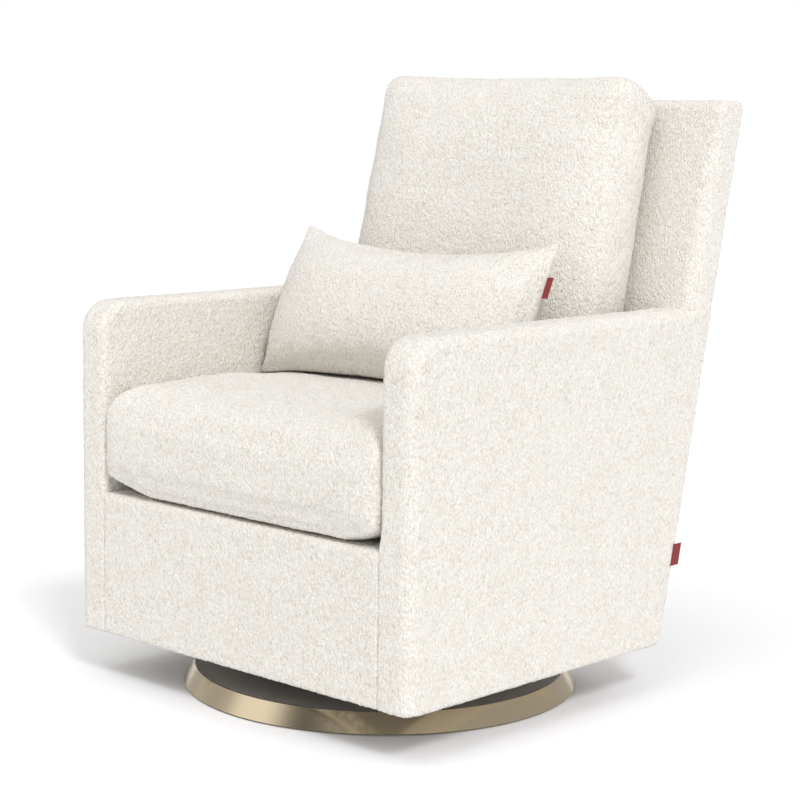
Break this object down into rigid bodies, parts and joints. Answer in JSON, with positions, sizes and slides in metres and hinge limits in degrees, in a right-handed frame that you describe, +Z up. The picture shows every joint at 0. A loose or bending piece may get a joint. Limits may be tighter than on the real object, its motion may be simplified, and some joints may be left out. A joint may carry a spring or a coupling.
{
  "type": "swivel rocker armchair",
  "caption": "Upholstered armchair on a low round metal base that turns on a ball bearing and rocks on sprung pivots, with loose seat and back cushions and a lumbar pillow.",
  "frame": {"origin": "on the floor under the centre of the chair's bounding box", "axes": "+Z up, the front of the chair faces -Y, +X to the right as seen from the front"},
  "size_m": [0.75, 0.7898, 0.9968],
  "materials": {
    "boucle_cover": "cream looped boucle with small beige flecks, matte",
    "brushed_brass_tone": "steel plated in a brushed champagne brass tone",
    "grey_painted_steel": "satin grey-taupe powder coat",
    "black_steel": "black powder coat",
    "bright_steel": "zinc plated",
    "nylon": "black nylon",
    "spring_steel": "oiled spring wire",
    "black_rubber": "matte",
    "frame_timber": "sawn, unfinished",
    "webbing": "woven elastic webbing",
    "deck_cloth": "plain woven deck cloth over felt",
    "dust_cloth": "thin black non-woven cloth",
    "cushion_filling": "foam and fibre filling",
    "plain_tab": "plain woven tape without lettering",
    "zip_tape": "coil zip"
  },
  "bodies": {
    "base": {"base_ring": "brushed_brass_tone", "base_plate": "grey_painted_steel", "plate_screws": "bright_steel", "base_cross": "black_steel", "floor_glides": "nylon", "bearing_lower_race": "bright_steel", "lower_race_bolts": "bright_steel", "king_bolt": "bright_steel", "king_nut": "bright_steel"},
    "ball_ring": {"bearing_balls": "bright_steel", "ball_cage": "nylon"},
    "swivel": {"bearing_upper_race": "bright_steel", "upper_race_bolts": "bright_steel", "swivel_plate": "black_steel", "pivot_bracket_right": "black_steel", "pivot_bracket_left": "black_steel", "bracket_bolts": "bright_steel", "rock_shaft": "bright_steel", "shaft_clips": "bright_steel", "lower_spring_cups": "black_steel", "coil_springs_front": "spring_steel", "coil_springs_rear": "spring_steel", "stop_posts": "black_steel", "stop_pads": "black_rubber"},
    "seat_unit": {"rocker_plate": "black_steel", "rocker_bracket_right": "black_steel", "rocker_bracket_left": "black_steel", "pivot_bushes": "nylon", "rocker_bolts": "bright_steel", "upper_spring_cups": "black_steel", "front_rail": "frame_timber", "rear_rail": "frame_timber", "side_rails": "frame_timber", "mounting_slats": "frame_timber", "slat_cleats": "frame_timber", "corner_blocks": "frame_timber", "arm_frame_right": "frame_timber", "arm_frame_left": "frame_timber", "back_post_right": "frame_timber", "back_post_left": "frame_timber", "back_rails": "frame_timber", "back_webbing": "webbing", "seat_springs": "spring_steel", "spring_clips": "spring_steel", "seat_deck": "deck_cloth", "arm_cover_right": "boucle_cover", "arm_cover_left": "boucle_cover", "front_cover": "boucle_cover", "back_cover": "boucle_cover", "back_panel": "boucle_cover", "dust_cover": "dust_cloth", "back_cushion_core": "cushion_filling", "back_cushion_cover": "boucle_cover", "side_tab": "plain_tab"},
    "seat_cushion": {"seat_cushion_core": "cushion_filling", "seat_cushion_cover": "boucle_cover", "seat_cushion_zip": "zip_tape"},
    "lumbar_pillow": {"lumbar_pillow_core": "cushion_filling", "lumbar_pillow_cover": "boucle_cover", "pillow_tab": "plain_tab"}
  },
  "joints": [
    {"name": "swivel", "type": "hinge", "parent": "base", "child": "swivel", "pos_m": [0, -0.0611, 0.0375], "axis": [0, 0, 1], "continuous": true},
    {"name": "ball_ring_turn", "type": "hinge", "parent": "base", "child": "ball_ring", "pos_m": [0, -0.0611, 0.0375], "axis": [0, 0, 1], "continuous": true},
    {"name": "rock", "type": "hinge", "parent": "swivel", "child": "seat_unit", "pos_m": [0, -0.0611, 0.118], "axis": [1, 0, 0], "range_deg": [-9, 7], "stiffness_Nm_per_rad": 597, "springref_deg": 2.1, "deforming": ["coil_springs_front", "coil_springs_rear"]},
    {"name": "seat_cushion_lift", "type": "slide", "parent": "seat_unit", "child": "seat_cushion", "axis": [0, 0, 1], "range_m": [0, 0.15]},
    {"name": "pillow_lift", "type": "slide", "parent": "seat_cushion", "child": "lumbar_pillow", "axis": [0, 0, 1], "range_m": [0, 0.2]}
  ],
  "couplings": [
    {"joint": "ball_ring_turn", "follows": "swivel", "ratio": 0.5}
  ]
}
